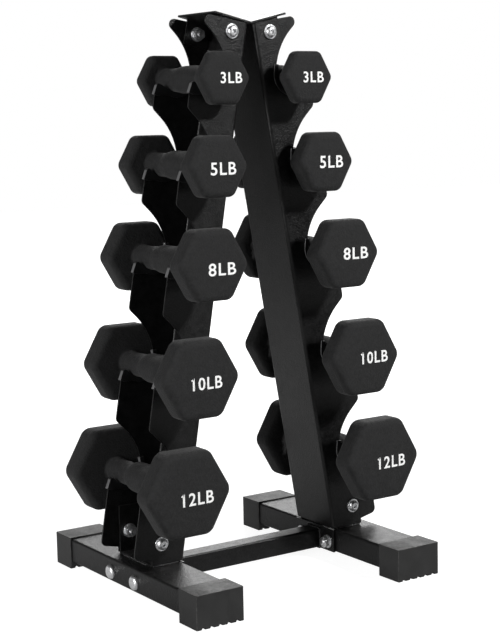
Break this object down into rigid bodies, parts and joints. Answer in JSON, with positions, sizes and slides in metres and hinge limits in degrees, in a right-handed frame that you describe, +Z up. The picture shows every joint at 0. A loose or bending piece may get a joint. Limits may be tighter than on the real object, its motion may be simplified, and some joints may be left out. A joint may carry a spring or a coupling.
{
  "type": "dumbbell rack",
  "caption": "A-frame dumbbell rack: two notched channel uprights on a tube base hold pairs of coated hexagonal dumbbells, which lift out of lined cradles.",
  "frame": {"origin": "on the floor under the middle of the rack's footprint", "axes": "+X along the cross bar, from the left-hand upright to the right-hand one as seen from the front; +Y along the base tubes and the handles, towards the back, so the numbered faces look along -Y; +Z up"},
  "size_m": [0.4026, 0.342, 0.6941],
  "materials": {
    "powder_coat": "satin black powder coat",
    "cap_plastic": "moulded matte black",
    "liner_rubber": "moulded dark grey",
    "zinc_steel": "bright zinc plate",
    "cast_iron": "as cast, sealed under the coat",
    "neoprene": "matte dipped neoprene with a fine grain"
  },
  "bodies": {
    "rack": {"base_tube_left": "powder_coat", "base_tube_right": "powder_coat", "end_cap_left_front": "cap_plastic", "end_cap_left_back": "cap_plastic", "end_cap_right_front": "cap_plastic", "end_cap_right_back": "cap_plastic", "foot_bracket_left": "powder_coat", "foot_bracket_right": "powder_coat", "upright_left": "powder_coat", "upright_right": "powder_coat", "top_bracket": "powder_coat", "cross_bar": "powder_coat", "cross_bar_plate_left": "powder_coat", "cross_bar_plate_right": "powder_coat", "saddle_liners_left_front": "liner_rubber", "saddle_liners_left_back": "liner_rubber", "saddle_liners_right_front": "liner_rubber", "saddle_liners_right_back": "liner_rubber", "top_bolts": "zinc_steel", "top_washers": "zinc_steel", "top_nuts": "zinc_steel", "foot_bolts": "zinc_steel", "foot_washers": "zinc_steel", "foot_nuts": "zinc_steel", "cross_bar_bolts": "zinc_steel", "cross_bar_washers": "zinc_steel", "cross_bar_nuts": "zinc_steel"},
    "dumbbell_3lb_left": {"dumbbell_3lb_left_core": "cast_iron", "dumbbell_3lb_left_coat": "neoprene"},
    "dumbbell_3lb_right": {"dumbbell_3lb_right_core": "cast_iron", "dumbbell_3lb_right_coat": "neoprene"},
    "dumbbell_5lb_left": {"dumbbell_5lb_left_core": "cast_iron", "dumbbell_5lb_left_coat": "neoprene"},
    "dumbbell_5lb_right": {"dumbbell_5lb_right_core": "cast_iron", "dumbbell_5lb_right_coat": "neoprene"},
    "dumbbell_8lb_left": {"dumbbell_8lb_left_core": "cast_iron", "dumbbell_8lb_left_coat": "neoprene"},
    "dumbbell_8lb_right": {"dumbbell_8lb_right_core": "cast_iron", "dumbbell_8lb_right_coat": "neoprene"},
    "dumbbell_10lb_left": {"dumbbell_10lb_left_core": "cast_iron", "dumbbell_10lb_left_coat": "neoprene"},
    "dumbbell_10lb_right": {"dumbbell_10lb_right_core": "cast_iron", "dumbbell_10lb_right_coat": "neoprene"},
    "dumbbell_12lb_left": {"dumbbell_12lb_left_core": "cast_iron", "dumbbell_12lb_left_coat": "neoprene"},
    "dumbbell_12lb_right": {"dumbbell_12lb_right_core": "cast_iron", "dumbbell_12lb_right_coat": "neoprene"}
  },
  "joints": [
    {"name": "dumbbell_3lb_left_lift", "type": "slide", "parent": "rack", "child": "dumbbell_3lb_left", "axis": [-0.766, 0, 0.6428], "range_m": [0, 0.15]},
    {"name": "dumbbell_3lb_right_lift", "type": "slide", "parent": "rack", "child": "dumbbell_3lb_right", "axis": [0.766, 0, 0.6428], "range_m": [0, 0.15]},
    {"name": "dumbbell_5lb_left_lift", "type": "slide", "parent": "rack", "child": "dumbbell_5lb_left", "axis": [-0.766, 0, 0.6428], "range_m": [0, 0.15]},
    {"name": "dumbbell_5lb_right_lift", "type": "slide", "parent": "rack", "child": "dumbbell_5lb_right", "axis": [0.766, 0, 0.6428], "range_m": [0, 0.15]},
    {"name": "dumbbell_8lb_left_lift", "type": "slide", "parent": "rack", "child": "dumbbell_8lb_left", "axis": [-0.766, 0, 0.6428], "range_m": [0, 0.15]},
    {"name": "dumbbell_8lb_right_lift", "type": "slide", "parent": "rack", "child": "dumbbell_8lb_right", "axis": [0.766, 0, 0.6428], "range_m": [0, 0.15]},
    {"name": "dumbbell_10lb_left_lift", "type": "slide", "parent": "rack", "child": "dumbbell_10lb_left", "axis": [-0.766, 0, 0.6428], "range_m": [0, 0.15]},
    {"name": "dumbbell_10lb_right_lift", "type": "slide", "parent": "rack", "child": "dumbbell_10lb_right", "axis": [0.766, 0, 0.6428], "range_m": [0, 0.15]},
    {"name": "dumbbell_12lb_left_lift", "type": "slide", "parent": "rack", "child": "dumbbell_12lb_left", "axis": [-0.766, 0, 0.6428], "range_m": [0, 0.15]},
    {"name": "dumbbell_12lb_right_lift", "type": "slide", "parent": "rack", "child": "dumbbell_12lb_right", "axis": [0.766, 0, 0.6428], "range_m": [0, 0.15]}
  ]
}
